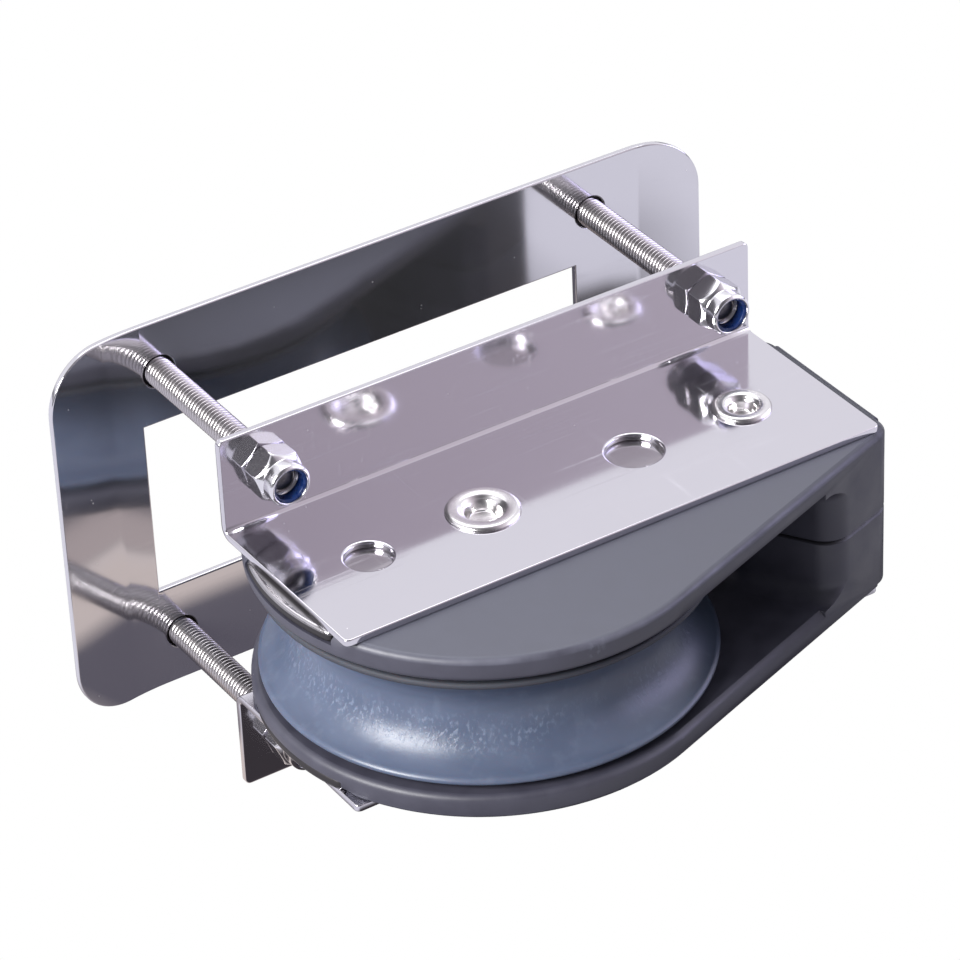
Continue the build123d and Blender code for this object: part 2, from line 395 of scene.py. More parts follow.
def group_socket(group, name, side, kind="NodeSocketFloat", value=None):
    """Add a named input or output to a node group."""
    socket = group.interface.new_socket(name=name, in_out=side, socket_type=kind)
    if value is not None:
        socket.default_value = value


# Polish marks: hairline scratches, a slow waviness and specks of dust, shared by the steels.
polish_marks = bpy.data.node_groups.new("polish_marks", "ShaderNodeTree")
for name, value in (("Scratches", 0.5), ("Waviness", 0.5), ("Dust", 0.5), ("Polish", 0.05)):
    group_socket(polish_marks, name, "INPUT", value=value)
for name in ("Roughness", "Height", "Specks"):
    group_socket(polish_marks, name, "OUTPUT")
wire = Wiring(polish_marks)
given = wire.add("NodeGroupInput").outputs
place_on = wire.add("ShaderNodeTexCoord").outputs["Object"]
hairs = wire.between(noise(wire, place_on, 900, 3, (0.04, 1, 1)), 0.56, 0.70)
cross_hairs = wire.between(noise(wire, place_on, 700, 2, (1, 0.05, 0.4)), 0.62, 0.74)
cloud = noise(wire, place_on, 60, 3)
patchy = wire.math("MULTIPLY", wire.math("MAXIMUM", hairs, cross_hairs), wire.between(cloud, 0.4, 0.62))
scratch = wire.math("MULTIPLY", patchy, given["Scratches"])
dots = wire.add("ShaderNodeTexVoronoi", Scale=420)
wire.link(place_on, dots.inputs["Vector"])
near_dot = wire.between(dots.outputs["Distance"], 0.03, 0.07, 1.0, 0.0)
scarce = wire.between(noise(wire, place_on, 130, 1), 0.55, 0.60)
specks = wire.math("MULTIPLY", near_dot, scarce)
specks = wire.math("MULTIPLY", specks, given["Dust"], clamp=True)
rough = wire.math("MULTIPLY_ADD", scratch, 0.16, given["Polish"])
rough = wire.math("MULTIPLY_ADD", wire.between(cloud, 0.35, 0.7), 0.03, rough)
rough = wire.math("MULTIPLY_ADD", specks, 0.5, rough, clamp=True)
height = wire.math("MULTIPLY", noise(wire, place_on, 26, 1), given["Waviness"])
height = wire.math("MULTIPLY_ADD", scratch, -0.01, height)
result = wire.add("NodeGroupOutput").inputs
for name, source in (("Roughness", rough), ("Height", height), ("Specks", specks)):
    wire.link(source, result[name])


def new_material(name, settings):
    """A material, its wiring and its shader, with the values that are the same all over."""
    material = bpy.data.materials.new(name)
    material.use_nodes = True
    shader = material.node_tree.nodes["Principled BSDF"]
    for socket, value in settings.items():
        shader.inputs[socket].default_value = value
    return material, Wiring(material.node_tree), shader


def mark(wire, name):
    """A number that the mesh carries under a name."""
    made = wire.add("ShaderNodeAttribute")
    made.attribute_name = name
    return made.outputs["Fac"]


def relief(wire, shader, height, strength, distance):
    """Let a pattern of heights stand out of the surface."""
    bump = wire.add("ShaderNodeBump", Strength=strength, Distance=distance)
    wire.link(height, bump.inputs["Height"])
    wire.link(bump.outputs[0], shader.inputs["Normal"])


dust_tone = (0.93, 0.93, 0.93)
painted_shade_tone = (0.03, 0.027, 0.027)
shade_cover = 0.92
shade_dullness = 0.3


def polished_steel(name, tone, scratches, waviness, dust, polish, haze=0.0):
    """Bright stainless steel over the shared polish marks, with painted shade where the mesh is marked for
    it.
    """
    material, wire, shader = new_material(name, {"Metallic": 1.0 - haze})
    marks = wire.add("ShaderNodeGroup")
    marks.node_tree = polish_marks
    amounts = {"Scratches": scratches, "Waviness": waviness, "Dust": dust, "Polish": polish}
    for socket, value in amounts.items():
        marks.inputs[socket].default_value = value
    in_shade = mark(wire, "painted_shade")
    shade = wire.blend(marks.outputs["Specks"], tone, dust_tone)
    # Painted shade darkens the steel where the mesh is marked for it.
    shade = wire.blend(wire.math("MULTIPLY", in_shade, shade_cover), shade, painted_shade_tone)
    wire.link(shade, shader.inputs["Base Color"])
    rough = wire.math("MULTIPLY_ADD", in_shade, shade_dullness, marks.outputs["Roughness"], clamp=True)
    wire.link(rough, shader.inputs["Roughness"])
    relief(wire, shader, marks.outputs["Height"], strength=0.2, distance=1.0 * mm)
    return material


def middle(node):
    """The centre of a CAD node's box."""
    low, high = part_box(node)
    return (low + high) / 2


plate_steel = polished_steel("plate_steel", (0.66, 0.65, 0.68), scratches=0.35, waviness=0.5, dust=1.0,
                             polish=0.075, haze=0.07)
plate_outline = rounded_box((plate_low.x, plate_low.z), (plate_high.x, plate_high.z), plate_corner, 16)
window = [Vector(c) for c in ((window_low.x, window_low.y), (window_low.x, window_high.y),
                              (window_high.x, window_high.y), (window_high.x, window_low.y))]
corners = ("upper_left", "upper_right", "lower_left", "lower_right")
screw_spots = [middle("screw_" + corner) for corner in corners]
plate_loops = [plate_outline, window] + [round_hole(s.x, s.z, plate_hole_r) for s in screw_spots]
bend_steps, lead_steps = 6, 13
bend_places = [plate_crease + plate_bend * (2 * step / bend_steps - 1) for step in range(bend_steps + 1)]
bend_places += [plate_crease - plate_bend - (plate_lead - plate_bend) * step / lead_steps
                for step in range(1, lead_steps + 1)]
bend_lines = [side * place for side in (-1, 1) for place in bend_places]
# The walls of the four screw holes carry painted shade.
work = sheet_blank(plate_loops, [plate_edge] * len(plate_loops), plate_t,
                   [((x, 0, 0), (1, 0, 0)) for x in bend_lines], range(2, len(plate_loops)))
for face in work.faces:
    along = abs(face.calc_center_median().x)
    face.smooth = face.smooth or plate_crease - plate_lead < along < plate_crease + plate_bend
for vertex in work.verts:
    x, z, depth = vertex.co
    past = abs(x) - plate_crease
    lead_slope = lead_slopes[1 if x > 0 else -1]
    slope = (plate_drop - lead_slope * plate_lead / 2) / (plate_high.x - plate_crease)
    lead = min(max(past + plate_lead, 0), plate_lead)
    drop = lead_slope * (lead * lead / (2 * plate_lead) + max(past, 0))
    blend = min(max(past + plate_bend, 0), 2 * plate_bend)
    drop += (slope - lead_slope) * (blend * blend / (4 * plate_bend) + max(past - plate_bend, 0))
    vertex.co = (x, depth - drop, z)
as_piece("polished_plate", work, plate_steel, "plate_steel", "plate", "face_plate")


# Brackets: two equal angles folded from 1.25 mm polished sheet. The flange stands to the
# panel and takes two screws; the web lies on the cheek and has two riveted and two free holes.
bracket_low, bracket_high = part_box("upper_bracket")
sheet_t = 1.25 * mm
bend_r = 0.9 * mm
bracket_edge = 0.22 * mm
hole_edge = 0.42 * mm
corner_r = 1.0 * mm
screw_hole_r = 2.8 * mm
axle_hole_r = 4.7 * mm
tail_hole_r = 3.9 * mm
axle_at, tail_at = middle("axle_rivet"), middle("tail_rivet")
flange_back = bracket_high.y - sheet_t
web_top = bracket_low.z + sheet_t
bend_y, bend_z = flange_back - bend_r, web_top + bend_r
flange_run = bracket_high.z - bend_z
bend_run = (bend_r + sheet_t / 2) * math.pi / 2
web_run = bend_y - bracket_low.y
bracket_steel = polished_steel("bracket_steel", (0.67, 0.655, 0.69), scratches=0.9, waviness=0.25, dust=0.7,
                               polish=0.085)


def folded(along, run, depth):
    """Where a point of the flat blank comes to lie once the sheet is folded."""
    past = run - flange_run
    if past <= 0:
        return along, flange_back + depth, bracket_high.z - run
    if past < bend_run:
        turn = past / bend_run * math.pi / 2
        out_r = bend_r + depth
        return along, bend_y + out_r * math.cos(turn), bend_z - out_r * math.sin(turn)
    return along, bend_y - (past - bend_run), web_top - depth


web_hole_run = flange_run + bend_run + bend_y - axle_at.y
blank_end = flange_run + bend_run + web_run
bracket_loops = [rounded_box((bracket_low.x, 0), (bracket_high.x, blank_end), corner_r, 6)]
bracket_edges = [bracket_edge]
for side in (-1, 1):
    bracket_loops.append(round_hole(side * screw_spots[1].x, bracket_high.z - screw_spots[1].z, screw_hole_r))
    bracket_loops.append(round_hole(side * axle_at.x, web_hole_run, axle_hole_r))
    bracket_loops.append(round_hole(side * tail_at.x, web_hole_run, tail_hole_r))
    bracket_edges += [bracket_edge, hole_edge, hole_edge]
bend_cuts = 6
fold_lines = [((0, flange_run + bend_run * i / bend_cuts, 0), (0, 1, 0)) for i in range(bend_cuts + 1)]
for half, flip in (("upper", 1), ("lower", -1)):
    work = sheet_blank(bracket_loops, bracket_edges, sheet_t, fold_lines)
    for face in work.faces:
        run = face.calc_center_median().y - flange_run
        face.smooth = face.smooth or 0 < run < bend_run
    for vertex in work.verts:
        x, y, z = folded(*vertex.co)
        vertex.co = (x, y, flip * z)
    as_piece(half + "_angle", work, bracket_steel, "bracket_steel", "block", half + "_bracket")


# Straps: polished steel, 2 mm thick with well rounded edges, let into the cheeks
# under the webs, where the rivets pass through them. Painted shade darkens the gap at
# the web's left end and the foot of the rounded edge.
strap_low, strap_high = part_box("upper_strap")
strap_edge = 0.6 * mm
strap_corner = 1.5 * mm
strap_t = strap_high.z - strap_low.z
strap_r = axle_at.x - strap_low.x
strap_half = (strap_high.y - strap_low.y) / 2
strap_steel = polished_steel("strap_steel", (0.50, 0.485, 0.50), scratches=0.6, waviness=0.4, dust=0.3,
                             polish=0.16)
inner_r = strap_r - strap_corner
tip = math.degrees(math.asin((strap_half - strap_corner) / inner_r))
tip_x = axle_at.x - inner_r * math.cos(math.radians(tip))
tip_y = strap_half - strap_corner
strap_outline = arc((tip_x, axle_at.y - tip_y), strap_corner, 180 + tip, 270, 5)
strap_outline += arc((strap_high.x - strap_corner, strap_low.y + strap_corner), strap_corner, -90, 0, 6)
strap_outline += arc((strap_high.x - strap_corner, strap_high.y - strap_corner), strap_corner, 0, 90, 6)
strap_outline += arc((tip_x, axle_at.y + tip_y), strap_corner, 90, 180 - tip, 5)
strap_outline += arc(axle_at, strap_r, 180 - tip, 180 + tip, 20)[1:-1]
strap_loops = [strap_outline, round_hole(axle_at.x, axle_at.y, axle_hole_r),
               round_hole(tail_at.x, tail_at.y, tail_hole_r)]
web_end = bracket_low.x
# Painted shade in the gap at the web's left end and at the foot of the rounded edge.
gap_shade = {-1.3 * mm: 0.0, -0.3 * mm: 1.0, 1.5 * mm: 1.0, 2.5 * mm: 0.0}
for half, flip in (("upper", 1), ("lower", -1)):
    work = sheet_blank(strap_loops, [strap_edge, bracket_edge, bracket_edge], strap_t,
                       [((web_end + step, 0, 0), (1, 0, 0)) for step in gap_shade])
    dark = work.verts.layers.float["painted_shade"]
    for vertex in work.verts:
        past = vertex.co.x - web_end
        in_gap = any(abs(past - step) < 0.05 * mm and value for step, value in gap_shade.items())
        vertex[dark] = float(in_gap or vertex.co.z < strap_t - strap_edge + 0.05 * mm)
        vertex.co.z = flip * (vertex.co.z + strap_low.z)
    as_piece(half + "_inlay", work, strap_steel, "strap_steel", "block", half + "_strap")


# Cheeks: teardrop mouldings in dark grey plastic. The flat faces are painted paler than
# the walls as painted light, the rim carries a painted highlight in patches, the seam
# between the halves carries painted shade, and faint scuffs mark the walls.
cheek_edge = 0.3 * mm
cheek_rim = 1.1 * mm
wall_tones = (0.040, 0.039, 0.056), (0.049, 0.048, 0.068)
face_tones = (0.078, 0.081, 0.106), (0.089, 0.092, 0.119)
stain_tone = (0.080, 0.080, 0.102)
scuff_tone = (0.30, 0.32, 0.40)
rim_highlight_tone = (0.22, 0.225, 0.285)
seam_tone = (0.006, 0.006, 0.008)
cheek_plastic, wire, shader = new_material("cheek_plastic", {"Specular IOR Level": 0.6})
place_on = wire.add("ShaderNodeTexCoord").outputs["Object"]
off_seam = wire.math("ABSOLUTE", wire.split(place_on)[2])
flat_face = mark(wire, "flat_face")
mottle = wire.between(noise(wire, place_on, 260, 4), 0.35, 0.65)
stains = wire.between(noise(wire, place_on, 35, 3), 0.3, 0.7)
face_tone = wire.blend(mottle, *face_tones)
face_tone = wire.blend(wire.math("MULTIPLY", stains, 0.4), face_tone, stain_tone)
# The flat faces are painted paler than the walls, as painted light.
ground = wire.blend(flat_face, wire.blend(mottle, *wall_tones), face_tone)
spread = wire.between(noise(wire, place_on, 95, 2), 0.72, 0.80)
scuffs = wire.between(noise(wire, place_on, 900, 3, (1, 0.35, 1)), 0.52, 0.66)
scuffs = wire.math("MULTIPLY", scuffs, spread)
scuffs = wire.math("MULTIPLY", scuffs, wire.math("SUBTRACT", 1, flat_face))
ground = wire.blend(wire.math("MULTIPLY", scuffs, 0.15), ground, scuff_tone)
patches = wire.between(noise(wire, place_on, 160, 3), 0.3, 0.7, 0.0, 0.35)
# A painted highlight on the rim, in patches.
ground = wire.blend(wire.math("MULTIPLY", mark(wire, "painted_rim_highlight"), patches), ground, rim_highlight_tone)
# Painted shade in the seam between the halves.
seam_shade = wire.between(off_seam, 0.15 * mm, 0.45 * mm, 0.9, 0)
ground = wire.blend(seam_shade, ground, seam_tone)
wire.link(ground, shader.inputs["Base Color"])
wire.link(wire.between(mottle, 0.0, 1.0, 0.42, 0.52), shader.inputs["Roughness"])
relief(wire, shader, noise(wire, place_on, 1500, 4), strength=0.2, distance=0.04 * mm)


def at_height(vertex, z):
    """Whether a point lies at a height above or below the middle plane."""
    return abs(abs(vertex.co.z) - z) < 0.01 * mm


def on_chamfer(line):
    """Whether an edge bounds a sloped face."""
    return any(0.5 < abs(face.normal.z) < 0.9 for face in line.link_faces)


def made_mesh(holder):
    """The mesh that an object's modifiers make."""
    bpy.context.view_layer.update()
    return bpy.data.meshes.new_from_object(holder.evaluated_get(bpy.context.evaluated_depsgraph_get()))


def softened_copy(node, edge, rim_heights, cuts=4):
    """A copy of a CAD node's mesh, merged and cleared of seams, with its edges rounded.

    The chamfers of the two rims, each between a face and a wall height, become rounds of the same size.
    """
    work = bmesh.new()
    work.from_mesh(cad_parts[node].data)
    bmesh.ops.remove_doubles(work, verts=work.verts, dist=0.001 * mm)
    bmesh.ops.dissolve_limit(work, angle_limit=math.radians(0.5), verts=work.verts, edges=work.edges,
                             use_dissolve_boundaries=False)
    weights = work.edges.layers.float.new("bevel_weight_edge")
    borders = [z for heights in rim_heights for z in heights]
    for line in work.edges:
        sharp_turn = line.calc_face_angle(0) > math.radians(32)
        on_border = any(all(at_height(vertex, z) for vertex in line.verts) for z in borders)
        line[weights] = 1.0 if sharp_turn and not (on_chamfer(line) and on_border) else 0.0
    sharp = bpy.data.meshes.new(node + "_sharp")
    work.to_mesh(sharp)
    work.free()
    holder = placed(node + "_sharp", sharp)
    bevel = holder.modifiers.new("rounded", "BEVEL")
    bevel.width = edge
    bevel.segments = 3
    bevel.limit_method = "WEIGHT"
    bevel.use_clamp_overlap = True
    work = bmesh.new()
    work.from_mesh(made_mesh(holder))
    bpy.data.objects.remove(holder)

    top = work.verts.layers.float_vector.new("chamfer_top")
    foot = work.verts.layers.float_vector.new("chamfer_foot")
    across = []
    for line in work.edges:
        for high, low in (line.verts, reversed(line.verts)):
            for face_z, wall_z in rim_heights:
                if at_height(high, face_z) and at_height(low, wall_z) and on_chamfer(line):
                    across.append(line)
                    for vertex in (high, low):
                        vertex[top] = high.co
                        vertex[foot] = low.co
    cut = bmesh.ops.subdivide_edges(work, edges=across, cuts=cuts, use_grid_fill=False)
    for vertex in {piece for piece in cut["geom_inner"] if isinstance(piece, bmesh.types.BMVert)}:
        high, low = vertex[top], vertex[foot]
        turn = math.pi / 2 * (vertex.co.z - high.z) / (low.z - high.z)
        vertex.co.xy = high.xy + (low.xy - high.xy) * math.sin(turn)
        vertex.co.z = low.z + (high.z - low.z) * math.cos(turn)
    return work


cheek_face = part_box("upper_cheek")[1].z
cheek_t = 4.25 * mm
cheek_foot = cheek_face - cheek_t
rim_low, rim_high = cheek_face - 0.95 * mm, cheek_face - 0.1 * mm
# The real tail reaches further than the solid's, so its last part is drawn out a little.
tail_from, tail_to, tail_more = 45 * mm, 50 * mm, 0.65 * mm
for half in ("upper", "lower"):
    work = softened_copy(half + "_cheek", cheek_edge,
                         [(cheek_face, cheek_face - cheek_rim), (cheek_foot, cheek_foot + cheek_rim)])
    # The rim's round is marked for a painted highlight.
    rim_highlight_layer = work.verts.layers.float.new("painted_rim_highlight")
    # Flat faces are marked for the paler paint of painted light.
    flat_mask = work.verts.layers.float.new("flat_face")
    for face in work.faces:
        face.smooth = abs(face.normal.z) < 0.999 or face.calc_area() < (1.0 * mm) ** 2
    for vertex in work.verts:
        share = min(max((vertex.co.x - tail_from) / (tail_to - tail_from), 0), 1)
        vertex.co.x += tail_more * share * share * (3 - 2 * share)
        vertex[rim_highlight_layer] = 1.0 if rim_low < abs(vertex.co.z) < rim_high else 0.0
        vertex[flat_mask] = 1.0 if abs(vertex.co.z) > rim_high else 0.0
    as_piece(half + "_side", work, cheek_plastic, "cheek_plastic", "block", half + "_cheek")


# Sheave: turned from blue-grey acetal, with a wide rope groove, a hub that runs
# between the cheeks and a hollow in each side. Fine turning lines run round it,
# and the rope has bruised the groove.
rim_r = 37.0 * mm
half_rim = 9.7 * mm
half_hub = 10.6 * mm
rim_land = 0.9 * mm
groove_depth = 6.5 * mm
rim_round = 0.5 * mm
hub_r = 12.0 * mm
bore_r = 6.05 * mm
hollow_r = 28.0 * mm
hollow_depth = 2.6 * mm


def turned(sections, centre, columns, axis="Z", closed=True):
    """Skin a profile of (radius, height) round an axis through a centre.

    An open profile begins and ends on the axis.
    """
    work = bmesh.new()
    rings = []
    for radius, height in sections:
        ring = []
        for k in range(columns):
            a = 2 * math.pi * k / columns
            across, over = radius * math.cos(a), radius * math.sin(a)
            offset = Vector((across, over, height)) if axis == "Z" else Vector((across, -height, over))
            ring.append(work.verts.new(centre + offset))
        rings.append(ring)
    for face in skin(work, rings + rings[:closed]):
        face.smooth = True
    if not closed:
        bmesh.ops.remove_doubles(work, verts=rings[0] + rings[-1], dist=0.001 * mm)
    return work


mouth = half_rim - rim_land
groove_r = (mouth ** 2 + groove_depth ** 2) / (2 * groove_depth)
sweep = math.degrees(math.asin(mouth / groove_r))
upper_profile = [(bore_r, half_hub - 0.3 * mm), (bore_r + 0.3 * mm, half_hub), (hub_r - 0.4 * mm, half_hub),
                 (hub_r, half_hub - 0.4 * mm), (hub_r, half_rim - hollow_depth),
                 (hollow_r, half_rim - hollow_depth), (hollow_r + hollow_depth, half_rim)]
upper_profile += [tuple(p) for p in arc((rim_r - rim_round, half_rim - rim_round), rim_round, 90, 0, 5)]
groove_steps = 28
groove = arc((rim_r - groove_depth + groove_r, 0), groove_r, 180 - sweep, 180 + sweep, groove_steps)
groove = [(r, abs(z) if i < groove_steps // 2 else -abs(z)) for i, (r, z) in enumerate(groove)]
lower_profile = [(r, -z) for r, z in reversed(upper_profile)]
work = turned(upper_profile + groove + lower_profile, Vector((axle_at.x, axle_at.y, 0)), 224)
for face in work.faces:
    level_face = abs(face.normal.z) > 0.99 and face.calc_area() > (0.4 * mm) ** 2
    face.smooth = not level_face

# Turning lines: a fine pattern that runs round an axle.
turning_lines = bpy.data.node_groups.new("turning_lines", "ShaderNodeTree")
group_socket(turning_lines, "Axle", "INPUT", "NodeSocketVector", (0, 0, 0))
group_socket(turning_lines, "Fineness", "INPUT", value=1.0)
for name in ("Lines", "Streaks", "Height"):
    group_socket(turning_lines, name, "OUTPUT")
wire = Wiring(turning_lines)
given = wire.add("NodeGroupInput").outputs
off_axle = wire.vector_math("SUBTRACT", wire.add("ShaderNodeTexCoord").outputs["Object"], given["Axle"])[0]
x_out, y_out, z_out = wire.split(off_axle)
squares = [wire.math("MULTIPLY", part, part) for part in (x_out, y_out)]
radius = wire.math("SQRT", wire.math("ADD", *squares))
x_unit, y_unit, _ = wire.split(wire.vector_math("NORMALIZE", wire.join(x_out, y_out))[0])
depth_mark = wire.math("ADD", z_out, wire.math("MULTIPLY", radius, 1.7))
around = wire.join(wire.math("MULTIPLY", x_unit, 0.012), wire.math("MULTIPLY", y_unit, 0.012),
                   wire.math("MULTIPLY", depth_mark, given["Fineness"]))
result = wire.add("NodeGroupOutput").inputs
wire.link(noise(wire, around, 1400, 3), result["Lines"])
wire.link(noise(wire, around, 320, 4), result["Streaks"])
wire.link(z_out, result["Height"])

sheave_tones = (0.066, 0.084, 0.136), (0.080, 0.100, 0.158)
cloud_tone = (0.092, 0.113, 0.170)
smear_tone = (0.17, 0.20, 0.27)
bruise_tone = (0.28, 0.33, 0.44)
shade_tone = (0.040, 0.042, 0.055)
rope_run = 3.5 * mm
sheave_plastic, wire, shader = new_material(
    "sheave_plastic", {"Specular IOR Level": 0.5, "Subsurface Weight": 0.15, "Subsurface Scale": 1.0 * mm})
turned_marks = wire.add("ShaderNodeGroup")
turned_marks.node_tree = turning_lines
turned_marks.inputs["Axle"].default_value = axle_at
turned_marks.inputs["Fineness"].default_value = 1.0
lines = turned_marks.outputs
place_on = wire.add("ShaderNodeTexCoord").outputs["Object"]
tone = wire.blend(wire.between(lines["Streaks"], 0.35, 0.65), *sheave_tones)
cloud = wire.between(noise(wire, place_on, 60, 4), 0.35, 0.7)
tone = wire.blend(wire.math("MULTIPLY", cloud, 0.4), tone, cloud_tone)
smear = wire.between(noise(wire, place_on, 420, 5, (1, 1, 0.45)), 0.54, 0.74)
tone = wire.blend(wire.math("MULTIPLY", smear, 0.22), tone, smear_tone)
off_run = wire.math("ABSOLUTE", wire.math("ADD", lines["Height"], rope_run))
run_band = wire.between(off_run, 1.2 * mm, 3.6 * mm, 1, 0)
bruise = wire.between(noise(wire, place_on, 1800, 5, (1, 1, 0.6)), 0.53, 0.66)
in_band = wire.between(noise(wire, place_on, 60, 2), 0.44, 0.58)
bruise = wire.math("MULTIPLY", bruise, wire.math("MULTIPLY", in_band, run_band))
tone = wire.blend(wire.math("MULTIPLY", bruise, 0.28), tone, bruise_tone)
# Painted shadow darkens the top of the sheave, where it runs under the upper cheek.
cheek_shadow = wire.between(lines["Height"], 6.6 * mm, 8.2 * mm)
tone = wire.blend(cheek_shadow, tone, shade_tone)
wire.link(tone, shader.inputs["Base Color"])
gloss = wire.between(lines["Streaks"], 0.3, 0.7, 0.31, 0.38)
gloss = wire.math("MULTIPLY_ADD", cheek_shadow, 0.35, gloss)
wire.link(wire.math("MULTIPLY_ADD", bruise, 0.12, gloss), shader.inputs["Roughness"])
strokes = wire.math("MULTIPLY", noise(wire, place_on, 900, 4, (1, 1, 0.3)), run_band)
height = wire.math("MULTIPLY_ADD", strokes, 5.0, lines["Lines"])
height = wire.math("MULTIPLY_ADD", bruise, 1.5, height)
relief(wire, shader, height, strength=0.35, distance=0.04 * mm)
as_piece("grooved_wheel", work, sheave_plastic, "sheave_plastic", "sheave_wheel", "sheave")


# Rivets: two steel pins whose drilled ends are rolled over the webs in broad, bright
# heads with a funnel mouth. The larger one is the axle.
rivet_steel = polished_steel("rivet_steel", (0.76, 0.74, 0.74), scratches=0.4, waviness=0.4, dust=0.1,
                             polish=0.21)
cup_depth = 2.4 * mm
head_rise = 0.72


def smooth_path(points, steps=4):
    """Points along a smooth curve through the given ones, its ends kept."""
    ends = [points[0]] + list(points) + [points[-1]]
    path = []
    for a, b, c, d in zip(ends, ends[1:], ends[2:], ends[3:]):
        for k in range(steps):
            t = k / steps
            path.append(tuple(
                0.5 * (2 * q + (r - p) * t + (2 * p - 5 * q + 4 * r - s) * t * t
                       + (3 * q - p - 3 * r + s) * t ** 3)
                for p, q, r, s in zip(a, b, c, d)))
    return path + [tuple(points[-1])]


def rolled_rivet(name, node, centre, pin_r, cup_r, mouth_r, head_r):
    """A pin with two cupped heads: the profile of its upper half, mirrored and turned."""
    rise = head_rise * (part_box(node)[1].z - web_top)
    top = web_top + rise
    band = head_r - mouth_r
    floor = top - cup_depth
    head = [(head_r - 0.05 * band, web_top), (head_r, web_top + 0.3 * rise),
            (head_r - 0.12 * band, web_top + 0.75 * rise), (head_r - 0.32 * band, top),
            (mouth_r + 0.25 * band, top - 0.06 * rise), (mouth_r, top - 0.25 * rise),
            (0.5 * (cup_r + mouth_r), top - 0.7 * rise), (cup_r, top - 1.2 * rise),
            (0.84 * cup_r, floor + 0.18 * cup_r), (0.76 * cup_r, floor + 0.02 * cup_r),
            (0.6 * cup_r, floor), (0, floor)]
    half = [(pin_r, 0), (pin_r, web_top)] + smooth_path(head)
    profile = [(r, -z) for r, z in reversed(half)] + half[1:]
    work = turned(profile, Vector((centre.x, centre.y, 0)), 72, closed=False)
    as_piece(name, work, rivet_steel, "rivet_steel", "block", node)


rolled_rivet("axle_pin", "axle_rivet", axle_at,
             pin_r=4.6 * mm, cup_r=3.0 * mm, mouth_r=3.8 * mm, head_r=6.1 * mm)
rolled_rivet("tail_pin", "tail_rivet", tail_at,
             pin_r=3.8 * mm, cup_r=2.3 * mm, mouth_r=2.9 * mm, head_r=4.9 * mm)


# Axle sleeve: turned steel between the cheeks, hidden in the hub. It keeps its CAD shape.
sleeve_steel = polished_steel("sleeve_steel", (0.60, 0.60, 0.61), scratches=0.9, waviness=0.2, dust=0.0,
                              polish=0.25)
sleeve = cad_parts["axle_sleeve"]
sleeve.data.materials.clear()
sleeve.data.materials.append(sleeve_steel)


# Panel screws: four stainless M5 machine screws, 40 mm long and threaded to the head,
# with a pan head and a cross recess. The thread is a helix that Geometry Nodes build
# from a grid whose rows follow the crests and roots.
screw_steel = polished_steel("screw_steel", (0.64, 0.61, 0.62), scratches=0.5, waviness=0.2, dust=0.1,
                             polish=0.22)
screw_length = plate_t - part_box("screw_upper_left")[0].y
thread_sizes = {"Length": screw_length, "Pitch": 0.8 * mm, "Radius": 2.5 * mm, "Depth": 0.49 * mm,
                "Tip": 0.75 * mm}
root_darkness = 0.85
head_r = 4.75 * mm
head_h = 3.17 * mm
head_columns = 64
pole_r = 0.0001 * mm
neck = 0.3 * mm
recess_long, recess_thin = 2.3 * mm, 0.5 * mm
recess_over, recess_depth = 0.4 * mm, 1.7 * mm
rows_per_turn = 6
thread_columns = 41

thread_tree = bpy.data.node_groups.new("machine_thread", "GeometryNodeTree")
group_socket(thread_tree, "Geometry", "INPUT", "NodeSocketGeometry")
for name, value in thread_sizes.items():
    group_socket(thread_tree, name, "INPUT", value=value)
group_socket(thread_tree, "Place", "INPUT", "NodeSocketVector", (0, 0, 0))
group_socket(thread_tree, "Steel", "INPUT", "NodeSocketMaterial")
group_socket(thread_tree, "Geometry", "OUTPUT", "NodeSocketGeometry")
wire = Wiring(thread_tree)
given = wire.add("NodeGroupInput").outputs
length, pitch, outer, depth, tip = (given[name] for name in thread_sizes)
turns = wire.math("CEIL", wire.math("DIVIDE", length, pitch))
last_row = wire.math("MULTIPLY", wire.math("ADD", turns, 2), rows_per_turn)
grid = wire.add("GeometryNodeMeshGrid")
wire.link(wire.math("ADD", last_row, 1), grid.inputs["Vertices X"])
grid.inputs["Vertices Y"].default_value = thread_columns
index = wire.add("GeometryNodeInputIndex").outputs[0]
row = wire.math("FLOOR", wire.math("DIVIDE", index, thread_columns))
column = wire.math("MODULO", index, thread_columns)
around = wire.math("DIVIDE", column, thread_columns - 1)
row_turns = wire.math("DIVIDE", row, rows_per_turn)
run = wire.math("MULTIPLY", wire.math("ADD", wire.math("SUBTRACT", row_turns, 1), around), pitch)
run = wire.math("MAXIMUM", wire.math("MINIMUM", run, length), 0)
wave = wire.math("ABSOLUTE", wire.math("MULTIPLY_ADD", wire.math("FRACT", row_turns), 2, -1))
cut = wire.between(wave, 0.2, 0.8)
crest = wire.math("SUBTRACT", outer, wire.math("MULTIPLY", cut, depth))
start_limit = wire.math("MULTIPLY_ADD", run, 4, wire.math("SUBTRACT", outer, depth))
end_limit = wire.math("ADD", wire.math("SUBTRACT", outer, tip), wire.math("SUBTRACT", length, run))
radius = wire.math("MINIMUM", crest, wire.math("MINIMUM", start_limit, end_limit))
inner = wire.math("MULTIPLY", wire.math("GREATER_THAN", row, 0.5),
                  wire.math("LESS_THAN", row, wire.math("SUBTRACT", last_row, 0.5)))
radius = wire.math("MULTIPLY", radius, inner)
angle = wire.math("MULTIPLY", around, 2 * math.pi)
spot = wire.join(wire.math("MULTIPLY", radius, wire.math("COSINE", angle)), wire.math("MULTIPLY", run, -1),
                 wire.math("MULTIPLY", radius, wire.math("SINE", angle)))
setter = wire.add("GeometryNodeSetPosition")
wire.link(wire.vector_math("ADD", spot, given["Place"])[0], setter.inputs["Position"])
